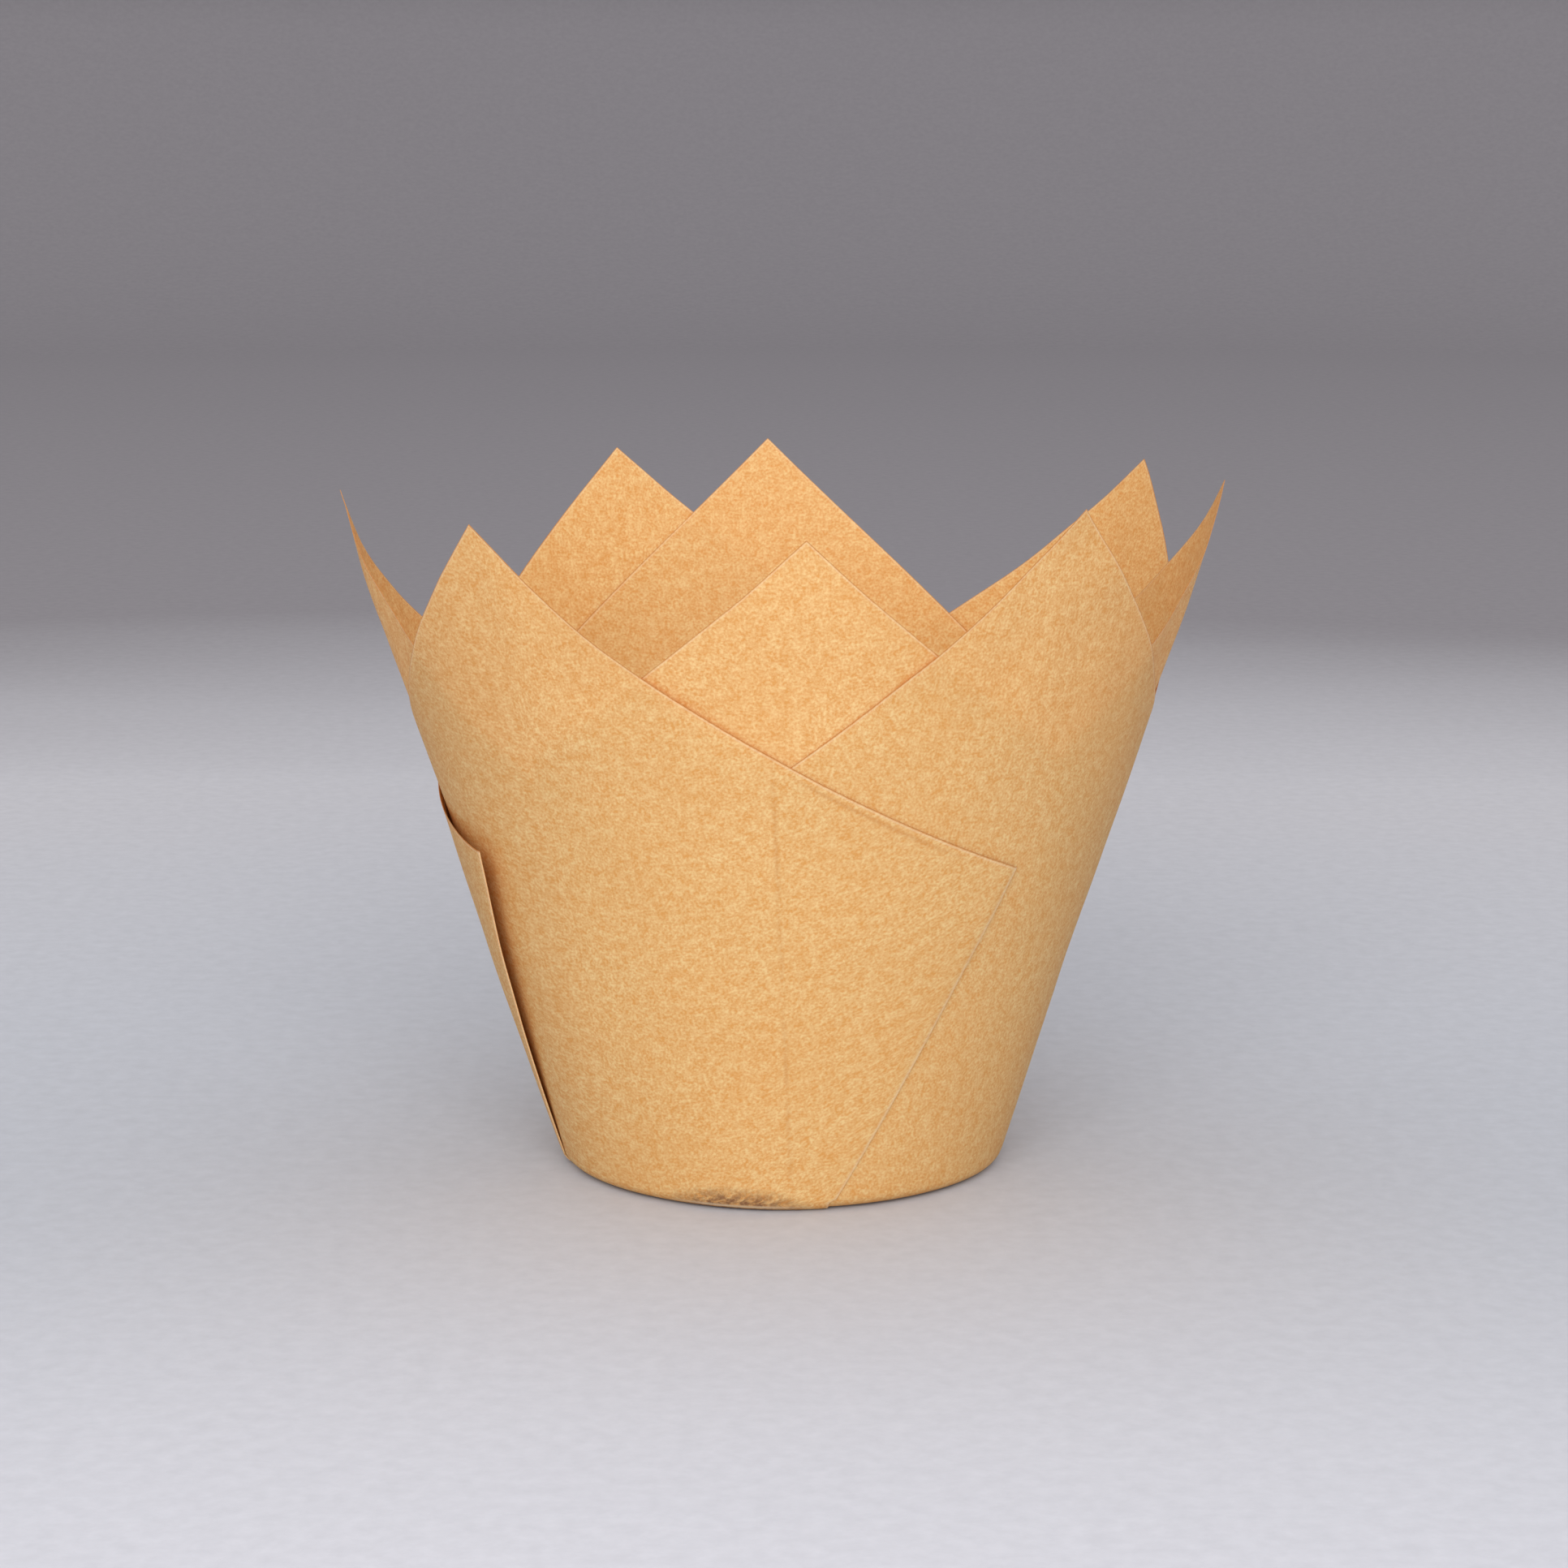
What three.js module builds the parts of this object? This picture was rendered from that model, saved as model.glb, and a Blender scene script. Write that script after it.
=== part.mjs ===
// Tulip baking cup: two square sheets of greaseproof paper, pressed together
// into a tapered cup an eighth of a turn apart. Each sheet has four points that
// stand up and four pleats, folded the same way round, that take up the slack
// between them. Millimetres, +Z up, origin at the centre of the base.
import * as THREE from 'three';

// Driving dimensions
const base_diameter = 50;
const wall_angle = THREE.MathUtils.degToRad(17.5);
const heel_radius = 2.2;
const outer_sheet_side = 150;
const inner_sheet_side = 150;
const paper = 0.1;
const layer_gap = 0.15;
const sheet_gap = 0.3;

// Where the points stand round the cup, in degrees from the front (-Y) towards
// +X, and how far round from its point's middle each flap's corner reaches
const outer_points = [-41, 39, 121, 204];
const inner_points = [3, 90, 182, 277];
const outer_flap_reach = [83, 86, 88, 89];
const inner_flap_reach = [88, 86, 90, 87];

// Feet of a pleat's two folds on the base circle, in degrees past the middle
// between its two points
const flap_foot = 13;
const tuck_foot = 4;
const pleat_root_radius = 19.5;
const pleat_turn_length = 1.2;
const root_half_width = 0.6;
const turn_half_width = 0.15;

// Fineness of the facets
const flap_columns = 12;
const tuck_columns = 6;
const wall_rows = 5;

const paper_colour = 0xd9a55e;
const sin_wall = Math.sin(wall_angle);
const cos_wall = Math.cos(wall_angle);
const base_radius = base_diameter / 2;
const heel_turn = Math.PI / 2 - wall_angle;
const heel_tangent = heel_radius * Math.tan(heel_turn / 2);
const layer_pitch = paper + layer_gap;
const rad = THREE.MathUtils.degToRad;

// Profile of the cup's outer face. A place along it is {part, at}: at is a
// radius on the base, a share of the heel's turn, or a slant length on the wall
function profile(place) {
  if (place.part === 'base') return { r: place.at, z: 0, tilt: 0 };
  if (place.part === 'heel') {
    const tilt = heel_turn * place.at;
    const r = base_radius - heel_tangent + heel_radius * Math.sin(tilt);
    return { r, z: heel_radius * (1 - Math.cos(tilt)), tilt };
  }
  return { r: base_radius + place.at * sin_wall, z: place.at * cos_wall, tilt: heel_turn };
}

// A point of the cup from its place on the profile, its angle round the cup and
// its height off the outer face, where a negative height is further inside
function cup_point(place, angle, height) {
  const { r, z, tilt } = profile(place);
  const radius = r + height * Math.sin(tilt);
  return [radius * Math.sin(angle), -radius * Math.cos(angle), z - height * Math.cos(tilt)];
}

// Slant height of a sheet's straight cut edge, at an angle from the middle of
// its point, once the sheet is rolled on to the cup's wall
function edge_slant(sheet_side, angle) {
  const wall_apex = base_radius / sin_wall;
  const opened = Math.abs(angle) * sin_wall;
  const reach = sheet_side / Math.SQRT2 + wall_apex - base_radius;
  return reach / (Math.cos(opened) + Math.sin(opened)) - wall_apex;
}

// Angle of a fold at a slant, when it runs straight on the unrolled wall from
// its foot on the base circle to its top end
function straight_fold(foot_angle, top_angle, top_slant, slant) {
  const wall_apex = base_radius / sin_wall;
  const turn = (top_angle - foot_angle) * sin_wall;
  const top = wall_apex + top_slant;
  const share = slant / top_slant;
  const across = share * top * Math.sin(turn);
  const along = wall_apex + share * (top * Math.cos(turn) - wall_apex);
  return foot_angle + Math.atan2(across, along) / sin_wall;
}

// Rows of a sheet from the pleats' roots on the base, over the heel and up the
// wall. share runs from 0 at the foot of the wall to 1 at the cut edge
function sheet_rows() {
  const rows = [
    { part: 'base', at: pleat_root_radius, state: 'root' },
    { part: 'base', at: pleat_root_radius + pleat_turn_length, state: 'turn' },
    { part: 'base', at: base_radius - heel_tangent, state: 'folded' },
    { part: 'heel', at: 0.5, state: 'folded' },
  ];
  for (let k = 0; k <= wall_rows; k += 1) rows.push({ part: 'wall', share: k / wall_rows, state: 'folded' });
  return rows;
}

// Columns of one quarter: along the flap's layer to its fold, back under it to
// the tuck's fold, and on to the middle of the next point
function quarter_columns(reach, span) {
  const columns = [];
  const push = (layer, share, fold) => columns.push({ layer, share, fold });
  for (let k = 0; k < flap_columns; k += 1) push('flap', k / flap_columns, 0);
  push('flap', 1, -1);
  push('flap_fold', 1, 0);
  push('turned', 0, -1);
  for (let k = 1; k < tuck_columns; k += 1) push('turned', k / tuck_columns, 0);
  push('turned', 1, 1);
  push('tuck_fold', 1, 0);
  push('tuck', 0, 1);
  for (let k = 1; k < tuck_columns; k += 1) push('tuck', k / tuck_columns, 0);
  const first = flap_columns;
  const last = flap_columns + tuck_columns + 5;
  columns.forEach((column, k) => { column.open = THREE.MathUtils.clamp((k - first) / (last - first), 0, 1); });
  return columns.map((column) => ({ ...column, reach: rad(reach), span: rad(span) }));
}

// Where a column stands: its angle from the middle of its point at the foot of
// the wall and at the cut edge
function column_angles(column) {
  const middle = column.span / 2;
  const flap = { foot: middle + rad(flap_foot), top: column.reach };
  const tuck = { foot: middle + rad(tuck_foot), top: middle };
  const mix = (a, b, t) => ({ foot: a.foot + (b.foot - a.foot) * t, top: a.top + (b.top - a.top) * t });
  if (column.layer === 'flap') return mix({ foot: 0, top: 0 }, flap, column.share);
  if (column.layer === 'flap_fold') return flap;
  if (column.layer === 'turned') return mix(flap, tuck, column.share);
  if (column.layer === 'tuck_fold') return tuck;
  return mix(tuck, { foot: column.span, top: column.span }, column.share);
}

// Slant of the cut edge over a column. The turned layer's cut edge lies just
// under the flap's own, and the tuck belongs to the next point round
function column_edge(sheet_side, column) {
  const { top } = column_angles(column);
  if (column.layer === 'tuck') return edge_slant(sheet_side, column.span - top);
  if (column.layer !== 'turned' && column.layer !== 'tuck_fold') return edge_slant(sheet_side, top);
  const tuck_end = edge_slant(sheet_side, column.span / 2);
  const flap_end = edge_slant(sheet_side, column.reach);
  const share = column.layer === 'tuck_fold' ? 1 : column.share;
  return flap_end + (tuck_end - flap_end) * share;
}

// Height of the sheet's middle off the cup's outer face: the flap outermost, the
// tuck two layers in, and the single wall between them rising from one to other
function layer_height(column, angle) {
  const outermost = -paper / 2;
  const rise = THREE.MathUtils.smoothstep(angle, 0, column.span / 2);
  if (column.layer === 'flap') return outermost - 2 * layer_pitch * (1 - rise);
  if (column.layer === 'flap_fold') return outermost - layer_pitch / 2;
  if (column.layer === 'turned') return outermost - layer_pitch;
  if (column.layer === 'tuck_fold') return outermost - 1.5 * layer_pitch;
  return outermost - 2 * layer_pitch;
}

// Angle and height of a column in a row, in the quarter's own turn
function section_point(sheet_side, row, column) {
  const edge = column_edge(sheet_side, column);
  const { foot, top } = column_angles(column);
  const at = row.part === 'wall' ? heel_tangent + (edge - heel_tangent) * row.share : row.at;
  const place = { part: row.part, at };
  const radius = profile(place).r;
  const middle = column.span / 2 + rad(flap_foot + tuck_foot) / 2;
  if (row.state === 'folded') {
    const slant = row.part === 'wall' ? at : 0;
    const angle = straight_fold(foot, top, edge, slant);
    const fold_back = (layer_pitch / 2 / radius) * column.fold;
    return { place, radius, angle: angle + fold_back, height: layer_height(column, angle) };
  }
  const in_fold = column.open > 0 && column.open < 1;
  const half_width = (row.state === 'root' ? root_half_width : -turn_half_width) / radius;
  let angle = middle + half_width * (2 * column.open - 1);
  if (!in_fold && column.layer === 'flap') angle = (middle - half_width) * column.share;
  if (!in_fold && column.layer === 'tuck') {
    angle = middle + half_width + (column.span - middle - half_width) * column.share;
  }
  const outermost = -paper / 2;
  if (row.state === 'root') return { place, radius, angle, height: outermost };
  const rise = THREE.MathUtils.smoothstep(angle, 0, middle);
  let drop = 2 * layer_pitch * column.open;
  if (!in_fold && column.layer === 'flap') drop = 2 * layer_pitch * (1 - rise);
  return { place, radius, angle, height: outermost - drop };
}

// One pressed sheet as a closed solid. inset is how far its outer face lies
// inside the cup's outer face
function pressed_sheet(sheet_side, points, flap_reach, inset) {
  const rows = sheet_rows();
  const span_from = (k) => (k + 1 < points.length ? points[k + 1] : points[0] + 360) - points[k];
  const quarters = points.map((start, k) => quarter_columns(flap_reach[k], span_from(k)));
  const columns = quarters.flatMap((list, k) => list.map((column) => ({ ...column, start: rad(points[k]) })));
  const grid = rows.map((row) => columns.map((column) => {
    const point = section_point(sheet_side, row, column);
    return { ...point, angle: point.angle + column.start };
  }));
  const positions = [];
  const put = (point) => positions.push(...point) / 3 - 1;
  const faces = { outer: [], inner: [] };
  grid.forEach((line) => {
    const count = line.length;
    const outer = [];
    const inner = [];
    line.forEach((point, k) => {
      const before = line[(k - 1 + count) % count];
      const after = line[(k + 1) % count];
      const full = 2 * Math.PI;
      const step = ((after.angle - before.angle + 3 * Math.PI) % full) - Math.PI;
      const along = new THREE.Vector2(step * point.radius, after.height - before.height).normalize();
      const normal = new THREE.Vector2(-along.y, along.x).multiplyScalar(paper / 2);
      const shifted = (side) => cup_point(
        point.place,
        point.angle + (side * normal.x) / point.radius,
        point.height - inset + side * normal.y,
      );
      outer.push(put(shifted(1)));
      inner.push(put(shifted(-1)));
    });
    faces.outer.push(outer);
    faces.inner.push(inner);
  });
  const middle_height = -paper / 2 - inset;
  const foot = { part: 'base', at: 0 };
  const outer_centre = put(cup_point(foot, 0, middle_height + paper / 2));
  const inner_centre = put(cup_point(foot, 0, middle_height - paper / 2));
  const triangles = [];
  const add = (a, b, c) => triangles.push(a, b, c);
  const count = columns.length;
  for (let k = 0; k < count; k += 1) {
    const n = (k + 1) % count;
    add(outer_centre, faces.outer[0][n], faces.outer[0][k]);
    add(inner_centre, faces.inner[0][k], faces.inner[0][n]);
    for (let j = 0; j + 1 < rows.length; j += 1) {
      const [a, b] = [faces.outer[j], faces.outer[j + 1]];
      const [c, d] = [faces.inner[j], faces.inner[j + 1]];
      add(a[k], a[n], b[n]);
      add(a[k], b[n], b[k]);
      add(c[k], d[n], c[n]);
      add(c[k], d[k], d[n]);
    }
    const top = rows.length - 1;
    add(faces.outer[top][k], faces.outer[top][n], faces.inner[top][n]);
    add(faces.outer[top][k], faces.inner[top][n], faces.inner[top][k]);
  }
  const geometry = new THREE.BufferGeometry();
  geometry.setAttribute('position', new THREE.Float32BufferAttribute(positions, 3));
  geometry.setIndex(triangles);
  geometry.computeVertexNormals();
  return geometry;
}

function paper_sheet(name, geometry) {
  const material = new THREE.MeshStandardMaterial({ color: paper_colour, roughness: 0.85, metalness: 0 });
  const mesh = new THREE.Mesh(geometry, material);
  mesh.name = name;
  return mesh;
}

const sheet_thickness = 3 * paper + 2 * layer_gap;
const cup = new THREE.Group();
cup.add(paper_sheet(
  'outer_sheet',
  pressed_sheet(outer_sheet_side, outer_points, outer_flap_reach, 0),
));
cup.add(paper_sheet(
  'inner_sheet',
  pressed_sheet(inner_sheet_side, inner_points, inner_flap_reach, sheet_thickness + sheet_gap),
));

export default cup;
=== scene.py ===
# %% [markdown]
# # A tulip baking cup
# A tulip cup is two square sheets of brown greaseproof paper, pressed together over a
# tapered plug an eighth of a turn apart. Nothing is glued. Each sheet keeps its four
# corners as points that stand up round the rim, and the slack between two points is
# laid over into a flat pleat that runs from the rim down to the base.
#
# This lesson presses the sheets again in code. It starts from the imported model, which
# fixes the sizes and the place of everything, and gives it finer paper.

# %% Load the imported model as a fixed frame
import math
from collections import namedtuple

import bmesh
import bpy
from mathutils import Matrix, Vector, noise


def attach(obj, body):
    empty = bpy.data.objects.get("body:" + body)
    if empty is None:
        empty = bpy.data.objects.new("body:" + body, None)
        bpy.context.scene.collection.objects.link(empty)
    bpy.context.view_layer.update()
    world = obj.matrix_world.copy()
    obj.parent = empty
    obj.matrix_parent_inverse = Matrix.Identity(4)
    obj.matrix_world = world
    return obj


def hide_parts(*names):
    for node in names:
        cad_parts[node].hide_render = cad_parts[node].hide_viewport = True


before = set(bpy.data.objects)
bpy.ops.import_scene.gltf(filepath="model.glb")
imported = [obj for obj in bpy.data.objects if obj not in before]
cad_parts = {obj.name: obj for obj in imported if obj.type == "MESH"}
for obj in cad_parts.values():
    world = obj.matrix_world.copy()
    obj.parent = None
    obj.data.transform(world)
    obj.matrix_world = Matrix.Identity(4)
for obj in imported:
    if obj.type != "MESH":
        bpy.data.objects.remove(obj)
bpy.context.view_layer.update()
MM = 0.001
print("nodes:", sorted(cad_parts))

# %% [markdown]
# ## The sizes of the pressing
# The plug is a cone with a flat end. Three sizes give it: the base circle, the angle of
# its wall and the small round heel between them. The sheets are 150 mm squares, the
# usual size for a 50 mm base. Where the points stand round the cup was read off: no
# pressed sheet is even, and the unevenness is what makes it look like paper.
#
# Angles run in degrees from the front (-Y) towards +X. A flap's reach is how far round
# from the middle of its own point its corner lies, and its foot is how far past half way
# to the next point its fold meets the base. A sheet is never laid dead centre or quite
# flat, so some tips, some flap corners and the two edges at a crossing come out a little
# higher or lower, by the "extra" rows. Where an inner point stands right in the gap
# between two outer ones, it comes flush with them by the "flush" row.

# %% Driving sizes, in millimetres and degrees
BASE_RADIUS = 25.0
WALL_ANGLE = math.radians(17.5)
HEEL_RADIUS = 2.2
SHEET_SIDE = 150.0
PAPER = 0.07
LAYER_PITCH = 0.10
SHEET_GAP = 0.10
PLEAT_ROOT = 19.5
TUCK_FOOT = 4.0
TURNED_DIP = 1.0

SIN_WALL, COS_WALL = math.sin(WALL_ANGLE), math.cos(WALL_ANGLE)
APEX = BASE_RADIUS / SIN_WALL
HEEL_TURN = math.pi / 2 - WALL_ANGLE
HEEL_TANGENT = HEEL_RADIUS * math.tan(HEEL_TURN / 2)
HEEL_START = BASE_RADIUS - HEEL_TANGENT

OUTER = {
    "name": "outer_paper",
    "node": "outer_sheet",
    "points": [-41, 39, 121, 204],
    "reach": [83, 86, 88, 101],
    "foot": [13, 13, 13, 21],
    "tip_extra": [-0.4, 1.5, 0.3, -0.3],
    "corner_extra": [0.7, 0.0, 0.0, 5.6],
    "cross_extra": [(0.9, -1.6), (0.8, 0.0), (0.3, -0.3), (0.0, -1.0)],
    "inset": 0.0,
    "flap_lift": [0.15, 0.4, 0.4, 2.3],
    "lean": [-0.6, -0.3, 0.5, 0.5],
    "flush": [0.0, 0.0, 0.0, 0.0],
    "seed": 3.1,
}
INNER = {
    "name": "inner_paper",
    "node": "inner_sheet",
    "points": [3, 90, 182, 277],
    "reach": [88, 86, 90, 87],
    "foot": [13, 13, 13, 13],
    "tip_extra": [-0.7, 0.4, 0.2, -0.2],
    "corner_extra": [0.0, 0.0, 0.0, 0.0],
    "cross_extra": [(0.0, 2.0), (0.0, 0.0), (0.0, 0.0), (-2.5, 0.0)],
    "inset": 3 * LAYER_PITCH + SHEET_GAP,
    "flap_lift": [0.0, 0.0, 0.0, 0.0],
    "lean": [-0.7, -0.1, 0.0, -0.5],
    "flush": [0.4, 0.4, 0.0, 0.4],
    "seed": 7.7,
}
print("slant from the base to a point, mm:", round(SHEET_SIDE / math.sqrt(2) - BASE_RADIUS, 1))

# %% [markdown]
# ## Where paper lies on the plug
# A place on the plug's outside is given by how far it is along the profile, its angle
# round the cup, and its height off the surface. The profile has three parts: out along
# the flat base, round the heel, and up the wall.
#
# Paper rolls on to a cone without stretching, so a cut edge that was straight stays
# straight when the wall is unrolled again. That gives the rim's shape from one formula,
# with no drawn outline: the edge falls from each point, crosses the next point's edge
# half way round, and goes on falling to the flap's corner.

# %% The plug's profile and the cut edge on it
def profile(part, at):
    """Radius, height and tilt of the plug's surface at a place along its profile."""
    if part == "base":
        return at, 0.0, 0.0
    if part == "heel":
        tilt = HEEL_TURN * at
        radius = HEEL_START + HEEL_RADIUS * math.sin(tilt)
        return radius, HEEL_RADIUS * (1 - math.cos(tilt)), tilt
    return BASE_RADIUS + at * SIN_WALL, at * COS_WALL, HEEL_TURN


def on_cup(part, at, angle, height):
    """The point of the cup at a place on the profile, an angle round it and a height off it."""
    radius, z, tilt = profile(part, at)
    radius += height * math.sin(tilt)
    z -= height * math.cos(tilt)
    return Vector((radius * math.sin(angle), -radius * math.cos(angle), z)) * MM


def edge_slant(angle):
    """Slant height of the cut edge at an angle from the middle of its point."""
    opened = abs(angle) * SIN_WALL
    reach = SHEET_SIDE / math.sqrt(2) + APEX - BASE_RADIUS
    return reach / (math.cos(opened) + math.sin(opened)) - APEX


def straight_fold(foot, top, top_slant, slant):
    """Angle at a slant of a line that is straight on the unrolled wall."""
    turn = (top - foot) * SIN_WALL
    share = slant / top_slant
    across = share * (APEX + top_slant) * math.sin(turn)
    along = APEX + share * ((APEX + top_slant) * math.cos(turn) - APEX)
    return foot + math.atan2(across, along) / SIN_WALL


def ease(low, high, x):
    """Smooth step from 0 at low to 1 at high."""
    t = min(1.0, max(0.0, (x - low) / (high - low)))
    return t * t * (3 - 2 * t)


print("the edges cross at slant, mm:", round(edge_slant(math.radians(40)), 1))

# %% [markdown]
# ## The columns and rows of a sheet
# A grid is laid over the flat sheet with its columns running from the middle outwards.
# Between two points the paper goes along the flap to its fold, turns back under it, and
# turns again at the tuck, so a quarter of the sheet is three strips of columns joined by
# two tight turns. A few columns go round each turn so that the fold is round, as folded
# paper is, and not a knife edge.

# %% Lay out the columns
FLAP_COLUMNS = 44
TURNED_COLUMNS = 18
TUCK_COLUMNS = 22
TURN_COLUMNS = 7


def quarter_columns():
    """(layer, share along the layer, turn angle) for the columns from one point to the next."""
    turns = [math.pi * k / (TURN_COLUMNS - 1) for k in range(TURN_COLUMNS)]
    columns = [("flap", k / FLAP_COLUMNS, None) for k in range(FLAP_COLUMNS)]
    columns += [("flap_fold", 1.0, turn) for turn in turns]
    columns += [("turned", k / TURNED_COLUMNS, None) for k in range(1, TURNED_COLUMNS)]
    columns += [("tuck_fold", 1.0, turn) for turn in turns]
    columns += [("tuck", k / TUCK_COLUMNS, None) for k in range(1, TUCK_COLUMNS)]
    return columns


QUARTER = quarter_columns()
FIRST_TURN = FLAP_COLUMNS
LAST_TURN = len(QUARTER) - TUCK_COLUMNS
print("columns in a quarter:", len(QUARTER))

# %% Lay out the rows, closer together where the paper turns
BASE_ROWS = 5
PLEAT_ROWS = 9
HEEL_ROWS = 6
WALL_ROWS = 62


def sheet_rows():
    """(part of the profile, place on it, how far the pleats have folded) for every row."""
    run = HEEL_START - PLEAT_ROOT
    rows = [("base", PLEAT_ROOT * k / BASE_ROWS, 0.0) for k in range(BASE_ROWS + 1)]
    for k in range(1, PLEAT_ROWS + 1):
        rows.append(("base", PLEAT_ROOT + run * k / PLEAT_ROWS, k / PLEAT_ROWS))
    rows += [("heel", k / HEEL_ROWS, 1.0) for k in range(1, HEEL_ROWS)]
    rows += [("wall", k / WALL_ROWS, 1.0) for k in range(WALL_ROWS + 1)]
    return rows


ROWS = sheet_rows()
print("rows:", len(ROWS))

# %% [markdown]
# ## How real paper departs from the plug
# Once it is off the plug, the paper relaxes. The wall keeps a slight unevenness and flares
# a little higher up, the free points lean and flatten out, because nothing holds them
# round, and a flap springs away from the wall along its fold. All of that is added as
# height off the plug. Both sheets share the unevenness, so that they can't pass through
# each other, and each has a faint ripple of its own only high up.

# %% The waves and the flare that both sheets share
WAVE_TALL = 40.0
SLOW_WAVE, SLOW_SCALE = 0.28, 1.3
QUICK_WAVE, QUICK_SCALE = 0.12, 4.0
QUICK_SHIFT = Vector((5.0, 2.0, 1.0))
WAVES_GROW = (0.0, 30.0)
FLARE = 0.25
FLARE_GROWS = (35.0, 60.0)


def unevenness(angle, slant):
    """Waves that grow from nothing at the heel, and a slight flare above them."""
    around = Vector((math.sin(angle), -math.cos(angle), slant / WAVE_TALL))
    slow = SLOW_WAVE * noise.noise(around * SLOW_SCALE)
    quick = QUICK_WAVE * noise.noise(around * QUICK_SCALE + QUICK_SHIFT)
    return ease(*WAVES_GROW, slant) * (slow + quick) + FLARE * ease(*FLARE_GROWS, slant)


print("the front wall half way up stands off by, mm:", round(unevenness(0.0, 40.0), 2))

# %% The free points and the flaps
FREE_FROM = 60.0
POINT_TOP = SHEET_SIDE / math.sqrt(2) - BASE_RADIUS
POINT_FLATTEN = 0.35
RIPPLE = 0.25
RIPPLE_WIDE, RIPPLE_TALL = 7.0, 9.0
RIPPLE_GROWS = (45.0, 75.0)
FLUSH_FADES = (math.radians(7), math.radians(18))
FLUSH_STEPS = ((0.5, 42.0, 52.0), (0.8, 54.0, 68.0))
SPRING_FROM = 0.64
SPRING_BEND = 1.8


def point_height(sheet, k, angle, slant):
    """The lean, flattening and ripple of a free point, and an inner point coming flush."""
    free = ease(FREE_FROM, POINT_TOP, slant)
    radius = BASE_RADIUS + slant * SIN_WALL
    sideways = radius * angle
    flatter = POINT_FLATTEN * sideways * sideways / (2 * radius)
    place = Vector((sideways / RIPPLE_WIDE, slant / RIPPLE_TALL, sheet["seed"] + k))
    ripple = RIPPLE * noise.noise(place)
    clear = 1 - ease(*FLUSH_FADES, abs(angle))
    steps = sum(rise * ease(low, high, slant) for rise, low, high in FLUSH_STEPS)
    flush = sheet["flush"][k] * clear * steps
    return free * (sheet["lean"][k] * free + flatter) + ease(*RIPPLE_GROWS, slant) * ripple + flush


def flap_spring(lift, towards_fold, up):
    """How far a flap springs off the wall. It leaves the wall's curve and runs straight on."""
    straight = max(0.0, (towards_fold - SPRING_FROM) / (1 - SPRING_FROM))
    return lift * up * straight ** SPRING_BEND


print("the springiest flap's corner lifts by, mm:", flap_spring(max(OUTER["flap_lift"]), 1.0, 1.0))

# %% The three layers of a pleat
def layer_height(layer, angle, span, turn):
    """Height of the paper's middle for a layer of a pleat, below the outermost."""
    if layer == "flap":
        return -2 * LAYER_PITCH * (1 - ease(0, span / 2, angle))
    if layer == "flap_fold":
        return -LAYER_PITCH / 2 * (1 - math.cos(turn))
    if layer == "turned":
        return -LAYER_PITCH
    if layer == "tuck_fold":
        return -LAYER_PITCH * (1.5 - math.cos(turn) / 2)
    return -2 * LAYER_PITCH


print("a pleat's lowest layer lies below the flap by, mm:", -layer_height("tuck", 0.0, 1.0, None))

# %% [markdown]
# ## Placing one vertex
# Each column stands at one angle on the base circle and at another on the cut edge, and
# runs straight between them on the unrolled wall. At the pleat's root on the base the
# strips lie side by side, flat. In the few millimetres to the heel they first rise over
# each other and then slide back, which is what the paper does as the plug goes down.

# %% Work out where each column of a quarter stands
OPEN_HALF_WIDTH = 0.7
Stance = namedtuple("Stance", "foot top edge")
Pleat = namedtuple("Pleat", "span reach foot tip corner cross next_tip next_cross")


def cut_slant(pleat, angle, tip, cross):
    """Slant of the cut edge with the tip, the crossing and the corner a little off."""
    middle = pleat.span / 2
    before = max(0.0, 1 - angle / middle)
    after = max(0.0, (angle - middle) / (pleat.reach - middle))
    return edge_slant(angle) + tip * before + pleat.corner * after + cross * (1 - before - after)


def fold_stance(pleat, fold):
    """The stance of the flap's own fold or of the tuck's fold hidden below it."""
    middle = pleat.span / 2
    if fold == "flap_fold":
        corner = cut_slant(pleat, pleat.reach, pleat.tip, pleat.cross)
        return Stance(middle + pleat.foot, pleat.reach, corner)
    return Stance(middle + math.radians(TUCK_FOOT), middle, edge_slant(middle) + pleat.next_cross)


def column_stance(pleat, layer, share):
    """A column's angle at the foot and at the cut edge, and the slant of the cut edge."""
    flap, tuck = fold_stance(pleat, "flap_fold"), fold_stance(pleat, "tuck_fold")
    if layer == "flap":
        top = flap.top * share
        return Stance(flap.foot * share, top, cut_slant(pleat, top, pleat.tip, pleat.cross))
    if layer == "turned":
        foot, top, _ = (a + (b - a) * share for a, b in zip(flap, tuck))
        below = TURNED_DIP * math.sin(math.pi * share) + (pleat.cross - pleat.next_cross) * share
        return Stance(foot, top, cut_slant(pleat, top, pleat.tip, pleat.cross) - below)
    if layer == "tuck":
        top = tuck.top + (pleat.span - tuck.top) * share
        foot = tuck.foot + (pleat.span - tuck.foot) * share
        edge = cut_slant(pleat, pleat.span - top, pleat.next_tip, pleat.next_cross)
        return Stance(foot, top, edge)
    return fold_stance(pleat, layer)


def unfolded_angle(pleat, index, layer, share, radius):
    """Where a column lies at the root, with the strips of the pleat side by side."""
    middle = pleat.span / 2 + (pleat.foot + math.radians(TUCK_FOOT)) / 2
    half_width = OPEN_HALF_WIDTH / max(radius, PLEAT_ROOT)
    if layer == "flap":
        return (middle - half_width) * share
    if layer == "tuck":
        return middle + half_width + (pleat.span - middle - half_width) * share
    open_share = (index - FIRST_TURN) / (LAST_TURN - FIRST_TURN)
    return middle + half_width * (2 * open_share - 1)
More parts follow.
